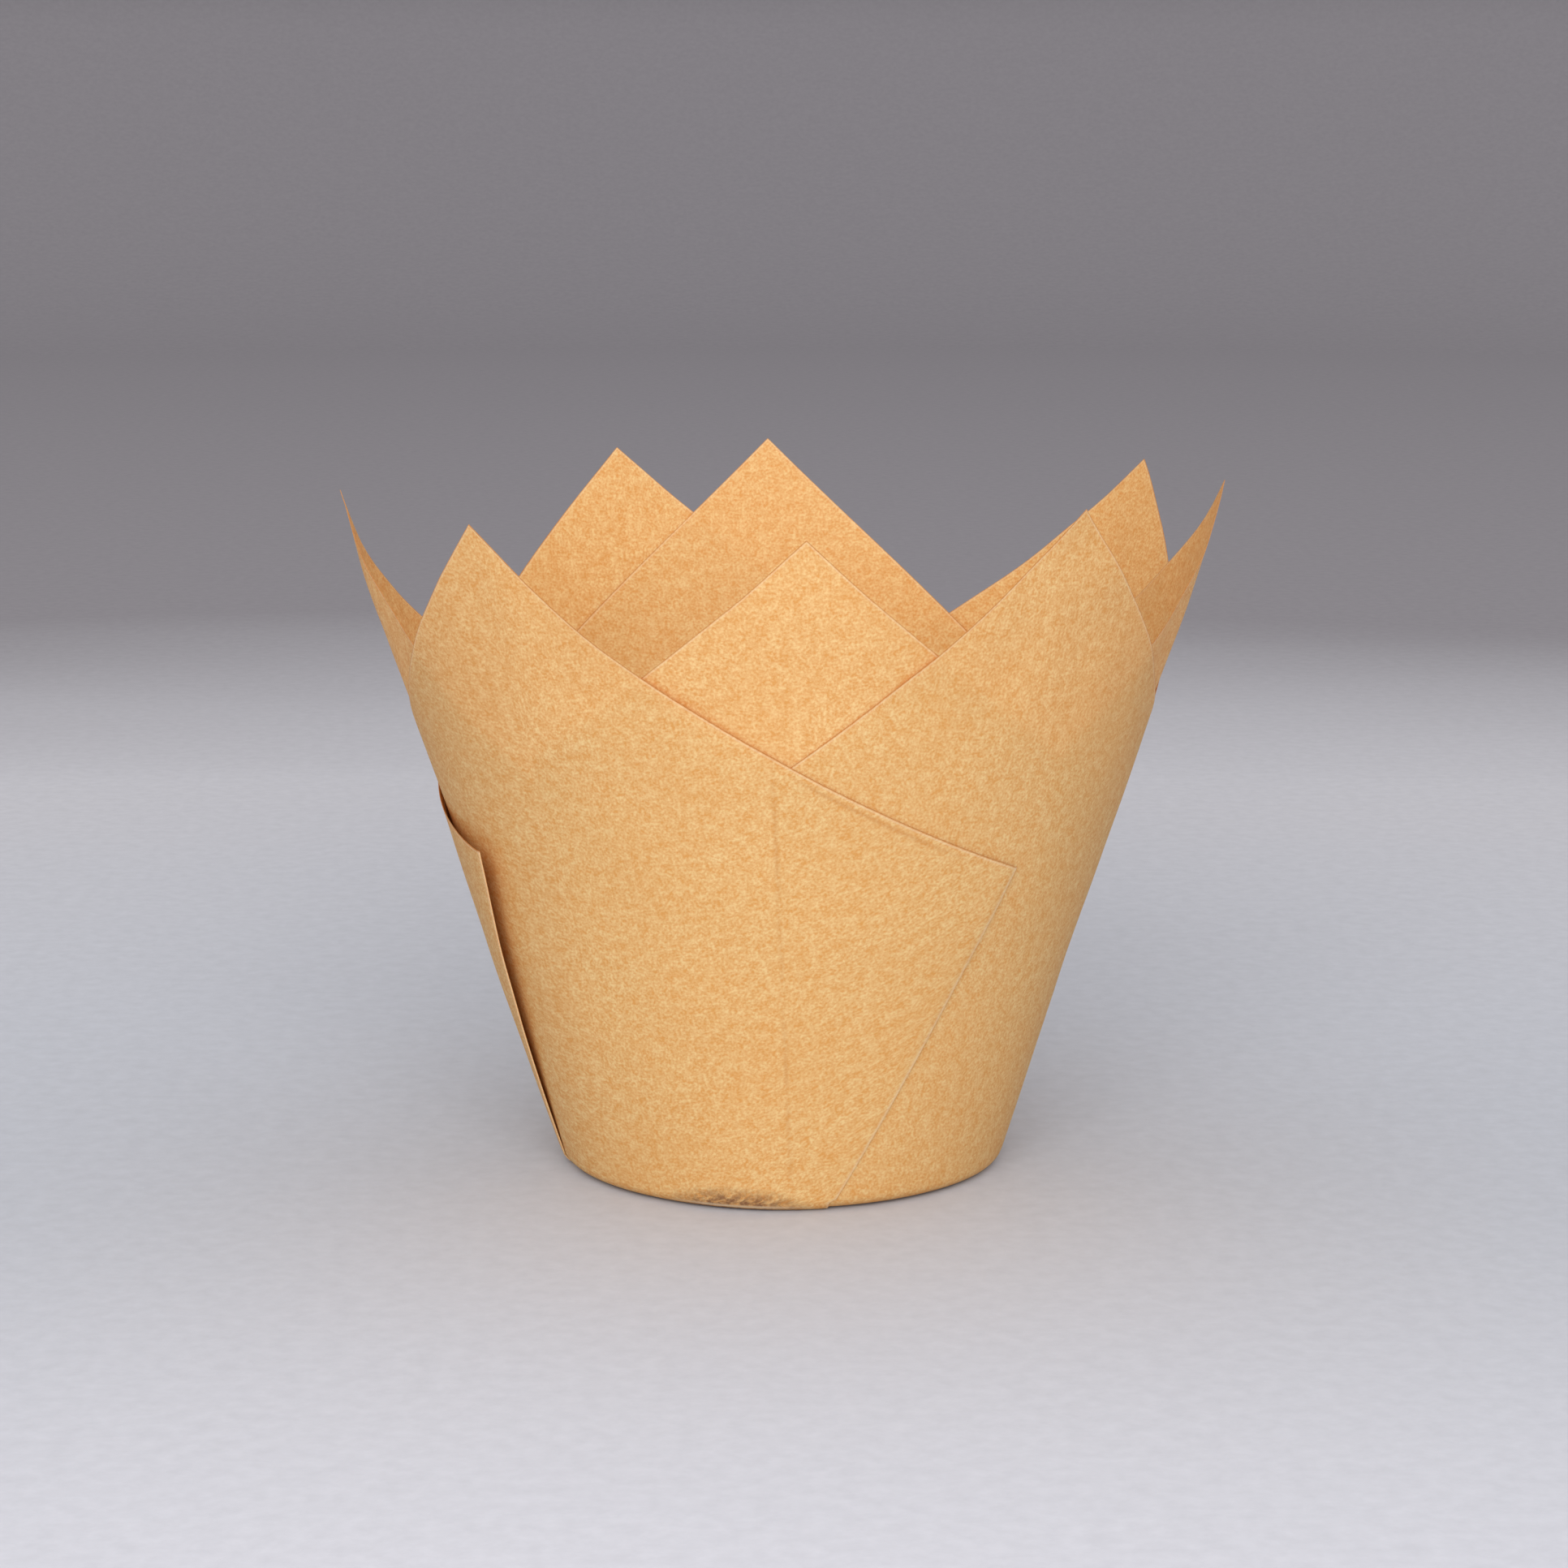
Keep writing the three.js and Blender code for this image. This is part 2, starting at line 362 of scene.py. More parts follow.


# %% [markdown]
# ## Marks for the paper's looks
# Greaseproof shows what lies near it: a cut edge has a paler line beside it, and a pressed
# fold has a light line. The thin brown line right at a cut edge is painted shadow, the
# shade that the edge casts on what lies below it. A fold underneath shows through as a
# faint line with a ridge, and that line is partly painted shade of the ridge. A brown line
# round the heel is painted shadow where the cup meets the floor. The material can only
# draw those if it knows where they are, so each vertex carries four distances in
# millimetres. Where a line doesn't apply, the mark is just far away. A fifth mark says
# whether the vertex is on the cup's outside, the only face that got dirty.

# %% Measure the distances to cut, folds and base
FAR = 30.0
HEEL_LENGTH = HEEL_RADIUS * HEEL_TURN
Marks = namedtuple("Marks", "cut fold hidden heel")
Spot = namedtuple("Spot", "part at angle height radius marks")


def spot_marks(pleat, layer, part, at, angle, edge):
    """Distances from the cut edge, the flap's fold, the tuck's fold below, and the base's edge."""
    radius = profile(part, at)[0]
    slant = at if part == "wall" else 0.0
    cut = min(FAR, edge - at) if part == "wall" else FAR
    start = {"base": at - HEEL_START, "heel": at * HEEL_LENGTH}
    heel = min(FAR, start.get(part, HEEL_LENGTH + at - HEEL_TANGENT))
    if layer == "flap_fold":
        fold = 0.0
    elif layer == "flap":
        fold = min(FAR, (straight_fold(*fold_stance(pleat, "flap_fold"), slant) - angle) * radius)
    else:
        fold = FAR
    if layer in ("flap", "flap_fold"):
        hidden = (angle - straight_fold(*fold_stance(pleat, "tuck_fold"), slant)) * radius
    else:
        hidden = -FAR if layer == "tuck" else FAR
    return Marks(cut, fold, max(-FAR, min(FAR, hidden)), heel)


print("length round the heel, mm:", round(HEEL_LENGTH, 2))

# %% Work out one place of the pressed grid
STAND_OFF = 0.12
STAND_OFF_GROWS = (42.0, 62.0)
STRIPS_RISE = (0.0, 0.45)
STRIPS_SLIDE = (0.1, 1.0)


def relaxed_height(sheet, k, pleat, layer, angle, up, slant):
    """What relaxing adds to a place on the wall, in the pleat after point k."""
    height = 0.0
    if layer in ("flap", "flap_fold", "turned"):
        towards_fold = angle / straight_fold(*fold_stance(pleat, "flap_fold"), slant)
        height += flap_spring(sheet["flap_lift"][k], towards_fold, up)
    if layer in ("flap", "flap_fold"):
        height += point_height(sheet, k, angle, slant)
    if layer in ("tuck_fold", "tuck"):
        height += point_height(sheet, (k + 1) % 4, angle - pleat.span, slant)
    if sheet is OUTER:
        height += STAND_OFF * ease(*STAND_OFF_GROWS, slant)
    return height


def pressed_spot(sheet, k, pleat, row, index):
    """One point of the grid, its angle measured from the middle of point k."""
    part, where, folded = row
    layer, share, turn = QUARTER[index]
    foot, top, edge = column_stance(pleat, layer, share)
    at = HEEL_TANGENT + (edge - HEEL_TANGENT) * where if part == "wall" else where
    slant = at if part == "wall" else 0.0
    radius = profile(part, at)[0]
    angle = straight_fold(foot, top, edge, slant)
    marks = spot_marks(pleat, layer, part, at, angle, edge)
    height = layer_height(layer, angle, pleat.span, turn)
    round_turn = LAYER_PITCH / 2 / max(radius, PLEAT_ROOT)
    if layer == "flap_fold":
        angle += (math.sin(turn) - 1) * round_turn
    if layer == "tuck_fold":
        angle -= (math.sin(turn) - 1) * round_turn
    if folded < 1:
        flat = unfolded_angle(pleat, index, layer, share, radius)
        angle = flat + (angle - flat) * ease(*STRIPS_SLIDE, folded)
        height *= ease(*STRIPS_RISE, folded)
    if part == "wall":
        height += relaxed_height(sheet, k, pleat, layer, angle, where, slant)
    return Spot(part, at, angle, height, radius, marks)


# %% Work out the whole grid of one sheet
def pleat_after(sheet, k):
    """The pleat between point k and the next."""
    points, tips = sheet["points"], sheet["tip_extra"]
    cross, next_cross = sheet["cross_extra"][k]
    return Pleat(
        span=math.radians((points + [points[0] + 360])[k + 1] - points[k]),
        reach=math.radians(sheet["reach"][k]),
        foot=math.radians(sheet["foot"][k]),
        tip=tips[k],
        corner=sheet["corner_extra"][k],
        cross=cross,
        next_tip=tips[(k + 1) % 4],
        next_cross=next_cross,
    )


def pressed_grid(sheet):
    """Every row as a list of spots, all the way round the cup."""
    pleats = [pleat_after(sheet, k) for k in range(4)]
    grid = []
    for row in ROWS:
        line = []
        for k, pleat in enumerate(pleats):
            for index in range(len(QUARTER)):
                spot = pressed_spot(sheet, k, pleat, row, index)
                around = spot.angle + math.radians(sheet["points"][k])
                rise = unevenness(around, spot.at) if spot.part == "wall" else 0.0
                line.append(spot._replace(angle=around, height=spot.height + rise))
        grid.append(line)
    return grid


front_pleat = pleat_after(INNER, 0)
front_corner = fold_stance(front_pleat, "flap_fold").edge
print("slant of the inner sheet's first flap corner, mm:", round(front_corner, 1))

# %% [markdown]
# ## The flat sheet's own map
# The paper's mottle belongs to the flat sheet, so it has to bend and fold with it. A UV
# map gives each vertex its place on the square before it was pressed, with 1 as the
# sheet's side. A quarter turn of the flat sheet is shared out over a quarter's columns.

# %% Where each vertex lay on the flat sheet
FLAP_FLAT = (0.54, 0.50)
TUCK_FLAT = (0.64, 0.77)
FOLD_FLAT = 0.002
FLAT_EVEN_FROM = 40.0


def flat_place(index, spot):
    """UV of a vertex on the uncut, unpressed square."""
    k, column = divmod(index, len(QUARTER))
    layer, share, turn = QUARTER[column]
    up = min(1.0, spot.at / FLAT_EVEN_FROM) if spot.part == "wall" else 0.0
    flap, tuck = (low + (high - low) * up for low, high in (FLAP_FLAT, TUCK_FLAT))
    quarter = {
        "flap": flap * share,
        "flap_fold": flap + FOLD_FLAT * (turn or 0),
        "turned": flap + (tuck - flap) * share,
        "tuck_fold": tuck + FOLD_FLAT * (turn or 0),
        "tuck": tuck + (1 - tuck) * share,
    }[layer]
    wall_start = HEEL_START + HEEL_LENGTH - HEEL_TANGENT
    flat_out = {"heel": HEEL_START + HEEL_LENGTH * spot.at, "wall": wall_start + spot.at}
    out = flat_out.get(spot.part, spot.at) / SHEET_SIDE
    flat = math.pi / 2 * (k + quarter)
    return 0.5 + out * math.sin(flat), 0.5 - out * math.cos(flat)


# %% [markdown]
# ## Pressing a sheet
# Two flat grids, one for each face of the paper, are made by the grid operator and every
# vertex is moved to its pressed place, half the paper's thickness to one side or the
# other. Doubles are merged where the grid closes on itself round the cup and at the
# middle of the base, and a bridge between the two open rims makes the cut edge.

# %% Make one face of a sheet
def across_the_paper(line, k):
    """Unit normal of the section at a column, as (around, outwards)."""
    before, here, after = line[k - 1], line[k], line[(k + 1) % len(line)]
    turn = (after.angle - before.angle + 3 * math.pi) % (2 * math.pi) - math.pi
    along = Vector((turn * here.radius, after.height - before.height))
    if along.length < 1e-9:
        return 0.0, 1.0
    along.normalize()
    return -along.y, along.x


def press_face(bm, sheet, grid, side, uv, marks):
    """Adds a grid of vertices moved to the outer (side 1) or inner (side -1) face."""
    count = len(grid[0])
    made = bmesh.ops.create_grid(bm, x_segments=count, y_segments=len(grid) - 1, size=1.0)
    corners = {}
    for vert in made["verts"]:
        i = round((vert.co.x + 1) / 2 * count)
        j = round((vert.co.y + 1) / 2 * (len(grid) - 1))
        corners[vert] = (i, j)
    for vert, (i, j) in corners.items():
        spot = grid[j][i % count]
        around, out = across_the_paper(grid[j], i % count)
        half = side * PAPER / 2
        sideways = around * half / max(spot.radius, 1.0)
        outermost = -PAPER / 2 - sheet["inset"]
        height = outermost + spot.height + out * half
        vert.co = on_cup(spot.part, spot.at, spot.angle + sideways, height)
        for name, distance in spot.marks._asdict().items():
            vert[marks[name]] = distance
        vert[marks["outside"]] = 1.0 if side > 0 and sheet is OUTER else 0.0
    faces = {face for vert in made["verts"] for face in vert.link_faces}
    for face in faces:
        for loop in face.loops:
            i, j = corners[loop.vert]
            spot = grid[j][i % count]
            loop[uv].uv = flat_place(i % count, spot)
    if side < 0:
        bmesh.ops.reverse_faces(bm, faces=list(faces))
    return made["verts"]


# %% Join the two faces at the cut edge and place the sheet
SHARP_FROM = math.radians(60)


def pressed_sheet(sheet):
    """The finished mesh of one sheet, in metres, in the cup's own frame."""
    grid = pressed_grid(sheet)
    bm = bmesh.new()
    uv = bm.loops.layers.uv.new("flat_sheet")
    names = Marks._fields + ("outside",)
    marks = {name: bm.verts.layers.float.new("mark_" + name) for name in names}
    for side in (1, -1):
        verts = press_face(bm, sheet, grid, side, uv, marks)
        bmesh.ops.remove_doubles(bm, verts=verts, dist=1e-7)
    rims = [edge for edge in bm.edges if edge.is_boundary]
    bmesh.ops.bridge_loops(bm, edges=rims)
    for face in bm.faces:
        face.smooth = True
    for edge in bm.edges:
        edge.smooth = edge.calc_face_angle(0.0) < SHARP_FROM
    mesh = bpy.data.meshes.new(sheet["name"])
    bm.to_mesh(mesh)
    bm.free()
    return mesh


def place_sheet(sheet, material):
    """Links the sheet as an object that stands for its node."""
    piece = bpy.data.objects.new(sheet["name"], pressed_sheet(sheet))
    bpy.context.scene.collection.objects.link(piece)
    piece.data.materials.append(material)
    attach(piece, "root")
    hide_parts(sheet["node"])
    print(sheet["name"], "triangles:", sum(len(p.vertices) - 2 for p in piece.data.polygons))
    return piece


# %% [markdown]
# ## Tools for the paper's nodes
# The paper is built from nodes in code. A few helpers keep that readable: each adds one
# node or a short chain, links what it is given, and returns the socket that carries the
# result.

# %% Helpers for the paper's nodes
def linear(red, green, blue):
    """A colour given as the eye reads it, 0 to 255, as the linear values that Blender uses."""
    def one(value):
        share = value / 255
        return share / 12.92 if share <= 0.04045 else ((share + 0.055) / 1.055) ** 2.4
    return one(red), one(green), one(blue), 1.0


def new_material(name):
    """An empty node material and its tree."""
    material = bpy.data.materials.new(name)
    material.use_nodes = True
    material.node_tree.nodes.clear()
    return material, material.node_tree


def add_noise(tree, vector, scale, detail, roughness, stretch=None):
    """A noise texture on a vector, stretched if asked. Returns its value socket."""
    if stretch:
        mapping = tree.nodes.new("ShaderNodeMapping")
        mapping.inputs["Scale"].default_value = stretch
        tree.links.new(vector, mapping.inputs["Vector"])
        vector = mapping.outputs["Vector"]
    node = tree.nodes.new("ShaderNodeTexNoise")
    node.inputs["Scale"].default_value = scale
    node.inputs["Detail"].default_value = detail
    node.inputs["Roughness"].default_value = roughness
    tree.links.new(vector, node.inputs["Vector"])
    return node.outputs["Fac"]


def spread(tree, value, low, high, to_low=0.0, to_high=1.0):
    """Maps low..high to to_low..to_high, clamped."""
    node = tree.nodes.new("ShaderNodeMapRange")
    limits = {"From Min": low, "From Max": high, "To Min": to_low, "To Max": to_high}
    for name, number in limits.items():
        node.inputs[name].default_value = number
    tree.links.new(value, node.inputs["Value"])
    return node.outputs["Result"]


def blend_colour(tree, factor, first, second, mode="MIX"):
    """Mixes two colours, each a socket or four numbers, by a factor socket or number."""
    node = tree.nodes.new("ShaderNodeMix")
    node.data_type = "RGBA"
    node.blend_type = mode
    pairs = ((node.inputs[0], factor), (node.inputs[6], first), (node.inputs[7], second))
    for socket, value in pairs:
        if isinstance(value, bpy.types.NodeSocket):
            tree.links.new(value, socket)
        else:
            socket.default_value = value
    return node.outputs[2]


def calculate(tree, operation, first, second):
    """One Math node on sockets or numbers."""
    node = tree.nodes.new("ShaderNodeMath")
    node.operation = operation
    for socket, value in zip(node.inputs, (first, second)):
        if isinstance(value, bpy.types.NodeSocket):
            tree.links.new(value, socket)
        else:
            socket.default_value = value
    return node.outputs[0]


def mark(tree, name):
    """The socket of one of the marks that the sheet's vertices carry."""
    node = tree.nodes.new("ShaderNodeAttribute")
    node.attribute_name = "mark_" + name
    return node.outputs["Fac"]


def line_at(tree, distance, middle, half_width):
    """1 where a distance has the middle value, falling to 0 half a width away."""
    away = calculate(tree, "ABSOLUTE", calculate(tree, "SUBTRACT", distance, middle), 0.0)
    return spread(tree, away, 0.0, half_width, 1.0, 0.0)


# %% [markdown]
# ## The pulp
# Close to, the paper is an orange tan with paler flecks. The flecks come in two sizes,
# from the sheet's own map: grains of a third of a millimetre, and rough flocks of a
# millimetre and a quarter that gather them. Short pale fibres lie over them, some along
# the sheet and some across it. One number holds all three, and drives the colour, the
# bump and the light let through.

# %% Mix the pulp from grains, flocks and fibres
DEEP_TAN = linear(234, 171, 93)
PALE_TAN = linear(255, 228, 164)
GRAINS = 480
FLOCKS = 118
FIBRES = 260
FIBRE_STRETCH = 0.3
GRAIN_SHARE, FLOCK_SHARE, FIBRE_SHARE = 0.45, 0.43, 0.12
PULP_LOW, PULP_HIGH = 0.42, 0.61


def add_pulp(tree, vector):
    """Fleckiness of the pulp, around a half."""
    grains = add_noise(tree, vector, GRAINS, 2.0, 0.6)
    flocks = add_noise(tree, vector, FLOCKS, 4.0, 0.78)
    across = add_noise(tree, vector, FIBRES, 1.0, 0.5, stretch=(1.0, FIBRE_STRETCH, 1.0))
    along = add_noise(tree, vector, FIBRES, 1.0, 0.5, stretch=(FIBRE_STRETCH, 1.0, 1.0))
    fibres = calculate(tree, "MAXIMUM", across, along)
    parts = ((grains, GRAIN_SHARE), (flocks, FLOCK_SHARE), (fibres, FIBRE_SHARE))
    weighted = [calculate(tree, "MULTIPLY", value, share) for value, share in parts]
    return calculate(tree, "ADD", calculate(tree, "ADD", weighted[0], weighted[1]), weighted[2])


# %% [markdown]
# ## Lines and smudges
# On top of the pulp come the marks: the lines at the cut edge, the dark one of them
# painted shadow, the light line along a fold, the fold below that shows through, with
# painted shade of its step, the edge of the turned layer that shows through the flap near
# its top, a line of painted shadow round the base, and a brown smudge low on the front,
# where the cup was slid about.
#
# Each line is a row: how far its middle lies from the cut, the fold or the heel's start
# and half its width, both in millimetres, how strong it is, and its colour.

# %% Draw the lines over the pulp's colour
PALE_EDGE = linear(255, 232, 190)
# Brown of the painted shadow that a cut edge casts on what lies below it.
EDGE_SHADOW_BROWN = linear(188, 118, 58)
# Tan of lines that show through, also used for painted shade and painted shadow.
SHOW_THROUGH_AND_SHADE = linear(214, 148, 78)

Line = namedtuple("Line", "middle half_width strength ink")
PALE_RIM = Line(0.22, 0.16, 0.5, PALE_EDGE)
# The dark line right at the cut edge is painted shadow cast by the edge.
EDGE_SHADOW_LINE = Line(0.0, 0.14, 0.75, EDGE_SHADOW_BROWN)
FOLD_RIDGE = Line(0.1, 0.3, 0.5, PALE_EDGE)
# The line over the fold below shows it through the paper and is partly painted shade of the step
# that the fold makes.
FOLD_BELOW_AND_SHADE = Line(-0.1, 0.4, 0.4, SHOW_THROUGH_AND_SHADE)
TURNED_EDGE = Line(1.0, 0.4, 0.5, SHOW_THROUGH_AND_SHADE)
# The brown line round the heel is painted shadow where the cup meets the floor.
BASE_CONTACT_SHADOW = Line(1.2, 1.1, 0.4, SHOW_THROUGH_AND_SHADE)
TURNED_FROM = (1.0, 4.0)
TURNED_TO = (15.0, 22.0)
BREAKS = 45


def draw_line(tree, colour, distance, line, shown=1.0):
    """The colour with one line drawn over it, as far as it is shown."""
    drawn = line_at(tree, distance, line.middle, line.half_width)
    drawn = calculate(tree, "MULTIPLY", drawn, shown)
    drawn = calculate(tree, "MULTIPLY", drawn, line.strength)
    return blend_colour(tree, drawn, colour, line.ink)


def add_marks(tree, colour, flat):
    """The colour with the cut and fold lines and the base's painted shadow drawn over it."""
    cut, fold, hidden, heel = (mark(tree, name) for name in Marks._fields)
    broken = spread(tree, add_noise(tree, flat, BREAKS, 3.0, 0.6), 0.35, 0.6)
    past_tuck = spread(tree, hidden, *TURNED_FROM)
    near_tuck = spread(tree, hidden, *TURNED_TO, 1.0, 0.0)
    turned = calculate(tree, "MULTIPLY", past_tuck, near_tuck)
    colour = draw_line(tree, colour, cut, PALE_RIM)
    colour = draw_line(tree, colour, cut, EDGE_SHADOW_LINE)
    colour = draw_line(tree, colour, fold, FOLD_RIDGE)
    colour = draw_line(tree, colour, hidden, FOLD_BELOW_AND_SHADE, broken)
    colour = draw_line(tree, colour, cut, TURNED_EDGE, turned)
    return draw_line(tree, colour, heel, BASE_CONTACT_SHADOW, broken)


# %% Rub in the smudge
SCUFF_BROWN = linear(130, 96, 68)
SCUFF_MIDDLE = (-0.0052, -0.0250, 0.0006)
SCUFF_SIZE = (0.0078, 0.006, 0.0023)
SCUFF_FADES = (0.45, 1.15)
SCUFF_PATCHES = 170
SCUFF_THIN, SCUFF_THICK = 0.2, 0.95
WORN_CREASE = Line(1.6, 0.45, 0.9, PALE_EDGE)


def add_smudge(tree, colour, flat):
    """The brown smudge low on the front, patchy and soft all round, with a worn pale crease."""
    place = tree.nodes.new("ShaderNodeTexCoord").outputs["Object"]
    mapping = tree.nodes.new("ShaderNodeMapping")
    mapping.vector_type = "TEXTURE"
    mapping.inputs["Location"].default_value = SCUFF_MIDDLE
    mapping.inputs["Scale"].default_value = SCUFF_SIZE
    tree.links.new(place, mapping.inputs["Vector"])
    length = tree.nodes.new("ShaderNodeVectorMath")
    length.operation = "LENGTH"
    tree.links.new(mapping.outputs["Vector"], length.inputs[0])
    near = spread(tree, length.outputs["Value"], *SCUFF_FADES, 1.0, 0.0)
    near = calculate(tree, "MULTIPLY", near, mark(tree, "outside"))
    pulp = add_noise(tree, flat, SCUFF_PATCHES, 4.0, 0.75)
    patchy = spread(tree, pulp, 0.4, 0.58, SCUFF_THIN, SCUFF_THICK)
    colour = blend_colour(tree, calculate(tree, "MULTIPLY", near, patchy), colour, SCUFF_BROWN)
    return draw_line(tree, colour, mark(tree, "heel"), WORN_CREASE, near)


# %% [markdown]
# ## The finish
# Most of the light is scattered back by a rough dielectric. A quarter goes through, deeper
# in colour, so that a single layer glows against the light and the gap under a flap turns
# a warm brown. The bump lifts the flecks by a few hundredths of a millimetre, and steps up
# by about the thickness of the paper across the hidden fold.

# %% Build the paper
GLOW = linear(244, 168, 78)
GLOW_PALE = linear(255, 206, 128)
LET_THROUGH = 0.25
LET_THROUGH_SPREAD = 0.04
CLOUDS = 9
CLOUD_STRENGTH = 0.22
GRAIN_HEIGHT = 0.04 * MM
STEP_HEIGHT = 2.0
STEP_ACROSS = (-0.4, 0.3)
PAPER_ROUGHNESS = 0.62
PAPER_SHEEN = 0.28


def paper_material(name):
    """Tan greaseproof paper, flecked on the flat sheet's own map."""
    material, tree = new_material(name)
    nodes, links = tree.nodes, tree.links
    uv_map = nodes.new("ShaderNodeUVMap")
    uv_map.uv_map = "flat_sheet"
    flat = uv_map.outputs["UV"]
    pulp = add_pulp(tree, flat)
    share = spread(tree, pulp, PULP_LOW, PULP_HIGH)
    clouds = spread(tree, add_noise(tree, flat, CLOUDS, 3.0, 0.5), 0.3, 0.7, 0.0, CLOUD_STRENGTH)
    colour = blend_colour(tree, share, DEEP_TAN, PALE_TAN)
    colour = blend_colour(tree, clouds, colour, DEEP_TAN)
    colour = add_smudge(tree, add_marks(tree, colour, flat), flat)
    step = spread(tree, mark(tree, "hidden"), *STEP_ACROSS, 0.0, STEP_HEIGHT)
    bump = nodes.new("ShaderNodeBump")
    bump.inputs["Strength"].default_value = 1.0
    bump.inputs["Distance"].default_value = GRAIN_HEIGHT
    links.new(calculate(tree, "ADD", pulp, step), bump.inputs["Height"])
    front = nodes.new("ShaderNodeBsdfPrincipled")
    front.inputs["Roughness"].default_value = PAPER_ROUGHNESS
    front.inputs["Specular IOR Level"].default_value = PAPER_SHEEN
    links.new(colour, front.inputs["Base Color"])
    links.new(bump.outputs["Normal"], front.inputs["Normal"])
    through = nodes.new("ShaderNodeBsdfTranslucent")
    links.new(blend_colour(tree, share, GLOW, GLOW_PALE), through.inputs["Color"])
    least, most = LET_THROUGH - LET_THROUGH_SPREAD, LET_THROUGH + LET_THROUGH_SPREAD
    mix = nodes.new("ShaderNodeMixShader")
    links.new(spread(tree, share, 0.0, 1.0, least, most), mix.inputs[0])
    links.new(front.outputs[0], mix.inputs[1])
    links.new(through.outputs[0], mix.inputs[2])
    out = nodes.new("ShaderNodeOutputMaterial")
    links.new(mix.outputs[0], out.inputs["Surface"])
    return material


PAPER_FINISH = paper_material("greaseproof_paper")
outer_paper = place_sheet(OUTER, PAPER_FINISH)
inner_paper = place_sheet(INNER, PAPER_FINISH)

# %% [markdown]
# ## The camera
# The camera stands where the picture was taken from: about 45 cm away and a little above
# the rim. It was worked out from the cup itself. The base circle looks 3.7 times as wide
# as it is deep, which gives the height of the eye, and the heights of the front and back
# points give its distance. It looks down by ten degrees, and no lens shift is needed.

# %% Stand the camera
IMAGE_SIDE = 1932
EYE_SIDEWAYS = 0.0003
EYE_DISTANCE = 0.450
EYE_HEIGHT = 0.1256
EYE_PITCH = math.radians(10.39)
FOCAL_PIXELS = 4971
SENSOR = 36.0

camera_data = bpy.data.cameras.new("camera")
camera_data.sensor_width = SENSOR
camera_data.lens = SENSOR * FOCAL_PIXELS / IMAGE_SIDE
camera = bpy.data.objects.new("camera", camera_data)
camera.location = (EYE_SIDEWAYS, -EYE_DISTANCE, EYE_HEIGHT)
camera.rotation_euler = (math.pi / 2 - EYE_PITCH, 0.0, 0.0)
bpy.context.scene.collection.objects.link(camera)
bpy.context.scene.camera = camera
print("lens, mm:", round(camera_data.lens, 1))

# %% [markdown]
# ## The floor and the backdrop
# The cup stands on a plain pale grey floor that turns to a darker grey behind it. A real
# studio hangs one long sheet of paper. Here it is a shallow bowl spun round the cup. Its
# colour is painted light and shade that changes by the distance from a place in front of
# the cup: a pool of painted light near the cup, a ring of painted shade close round it,
# and painted falloff that leaves the backdrop darker, whichever side the cup is seen from.

# %% Spin the studio bowl
FLOOR_RADIUS = 1.7
FLOOR_RINGS = (0.0, 0.3, 1.0)
BOWL_CORNER = 0.45
BOWL_HEIGHT = 0.7
CORNER_STEPS = 8
SPIN_STEPS = 96


def studio_bowl():
    """A floor disc with a curved rim and wall, as one surface of revolution."""
    bm = bmesh.new()
    flat_to = FLOOR_RADIUS - BOWL_CORNER
    outline = [(ring, 0.0) for ring in FLOOR_RINGS + (flat_to,)]
    for k in range(1, CORNER_STEPS + 1):
        turn = math.pi / 2 * k / CORNER_STEPS
        across = flat_to + BOWL_CORNER * math.sin(turn)
        outline.append((across, BOWL_CORNER * (1 - math.cos(turn))))
    outline.append((FLOOR_RADIUS, BOWL_HEIGHT))
    verts = [bm.verts.new((r, 0.0, z)) for r, z in outline]
    edges = [bm.edges.new(pair) for pair in zip(verts, verts[1:])]
    bmesh.ops.spin(
        bm,
        geom=verts + edges,
        cent=(0, 0, 0),
        axis=(0, 0, 1),
        angle=2 * math.pi,
        steps=SPIN_STEPS,
        use_merge=True,
    )
    bmesh.ops.remove_doubles(bm, verts=bm.verts, dist=1e-6)
    bmesh.ops.recalc_face_normals(bm, faces=bm.faces)
    for face in bm.faces:
        face.smooth = True
        if face.normal.z < -0.5:
            face.normal_flip()
    mesh = bpy.data.meshes.new("studio_floor")
    bm.to_mesh(mesh)
    bm.free()
    return mesh


floor = bpy.data.objects.new("studio_floor", studio_bowl())
print("floor faces:", len(floor.data.polygons))

# %% Paint light and shade on the floor by its distance from the pool's middle
# The floor's colour is painted light and shade: a pool of painted light in front of the cup, a
# darker ring of painted shade close round it, and painted falloff to the darker grey behind.
LIGHT_POOL_MIDDLE = (0.0, -0.25, 0.0)
LIGHT_POOL_GREY = linear(221, 221, 229)
SHADE_RING_GREY = linear(199, 202, 211)
FALLOFF_MID_GREY = linear(207, 206, 212)
FALLOFF_FAR_GREY = linear(155, 151, 156)
PAINTED_LIGHT_RINGS = ((0.12, 0.25, SHADE_RING_GREY), (0.27, 0.48, FALLOFF_MID_GREY), (0.50, 0.70, FALLOFF_FAR_GREY))
# Faint bands of painted shade wander the rings, as waves in backdrop paper would shade it.
SHADE_BAND_SCALE = 7.0
SHADE_BAND_STRETCH = (0.3, 1.0, 1.0)
SHADE_BAND_WANDER = 0.10
FLOOR_GRAIN = 420.0
GRAIN_DARKEST, GRAIN_PALEST = 0.96, 1.04


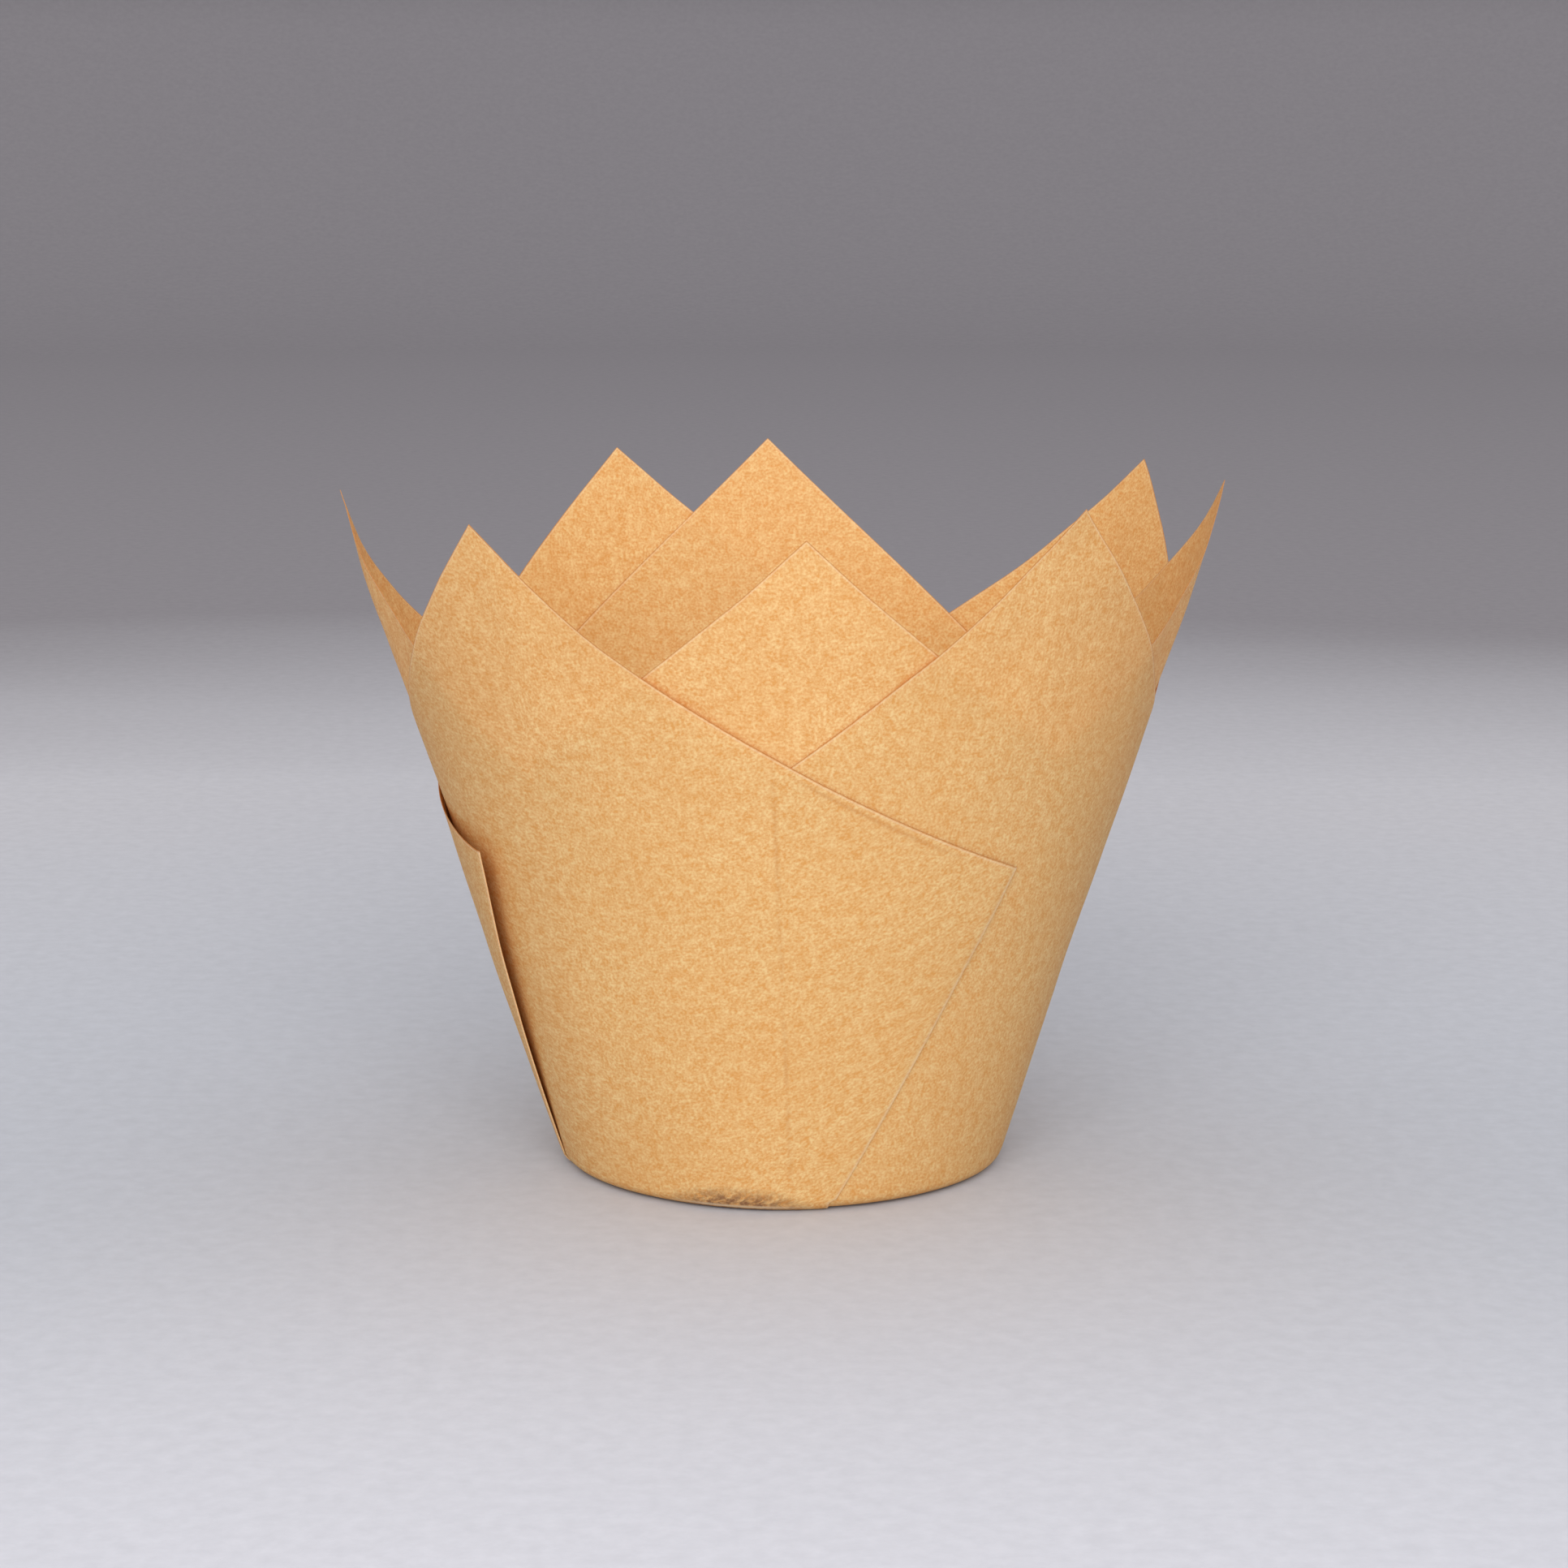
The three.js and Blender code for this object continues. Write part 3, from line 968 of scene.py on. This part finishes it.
def floor_material():
    """Painted light falling from pale grey in front of the cup to mid grey behind, faintly uneven.
    """
    material, tree = new_material("studio_grey_painted_light")
    place = tree.nodes.new("ShaderNodeTexCoord").outputs["Object"]
    away = tree.nodes.new("ShaderNodeVectorMath")
    away.operation = "DISTANCE"
    away.inputs[1].default_value = LIGHT_POOL_MIDDLE
    tree.links.new(place, away.inputs[0])
    waves = add_noise(tree, place, SHADE_BAND_SCALE, 2.0, 0.5, stretch=SHADE_BAND_STRETCH)
    wander = calculate(tree, "MULTIPLY", calculate(tree, "SUBTRACT", waves, 0.5), SHADE_BAND_WANDER)
    distance = calculate(tree, "ADD", away.outputs["Value"], wander)
    colour = LIGHT_POOL_GREY
    for start, end, grey in PAINTED_LIGHT_RINGS:
        colour = blend_colour(tree, spread(tree, distance, start, end), colour, grey)
    grain = add_noise(tree, place, FLOOR_GRAIN, 3.0, 0.65)
    level = spread(tree, grain, 0.3, 0.7, GRAIN_DARKEST, GRAIN_PALEST)
    levels = tree.nodes.new("ShaderNodeCombineColor")
    for socket in levels.inputs:
        tree.links.new(level, socket)
    colour = blend_colour(tree, 1.0, colour, levels.outputs[0], "MULTIPLY")
    matt = tree.nodes.new("ShaderNodeBsdfDiffuse")
    tree.links.new(colour, matt.inputs["Color"])
    out = tree.nodes.new("ShaderNodeOutputMaterial")
    tree.links.new(matt.outputs[0], out.inputs["Surface"])
    return material


floor.data.materials.append(floor_material())
bpy.context.scene.collection.objects.link(floor)
print("the darker grey starts behind the cup by, m:", PAINTED_LIGHT_RINGS[-1][0] + LIGHT_POOL_MIDDLE[1])

# %% [markdown]
# ## The light
# The picture was lit softly from behind the camera and hardly higher than it: the front
# of the cup is the brightest, both sides fall away, the inside lies in the front wall's
# shade, and only a faint shadow shows on the floor. One large lamp does that, hidden from
# the camera so that it never shows in a view from the back, and a white world fills in.

# %% Hang one large soft lamp and set the world
LAMP_PLACE = Vector((-0.044, -1.32, 0.42))
LAMP_AIM = Vector((0.0, 0.0, 0.04))
LAMP_SIDE = 1.25
LAMP_WATTS = 20.0
WORLD_LEVEL = 0.74

lamp_data = bpy.data.lights.new("soft_lamp", "AREA")
lamp_data.shape = "SQUARE"
lamp_data.size = LAMP_SIDE
lamp_data.energy = LAMP_WATTS
lamp = bpy.data.objects.new("soft_lamp", lamp_data)
lamp.location = LAMP_PLACE
lamp.rotation_euler = (LAMP_AIM - LAMP_PLACE).to_track_quat("-Z", "Y").to_euler()
lamp.visible_camera = False
bpy.context.scene.collection.objects.link(lamp)

world = bpy.data.worlds.new("studio")
bpy.context.scene.world = world
world.use_nodes = True
world.node_tree.nodes["Background"].inputs["Color"].default_value = (1.0, 1.0, 1.0, 1.0)
world.node_tree.nodes["Background"].inputs["Strength"].default_value = WORLD_LEVEL
bpy.context.scene.view_settings.view_transform = "Standard"
print("the lamp hangs from the cup, m:", round((LAMP_AIM - LAMP_PLACE).length, 2))
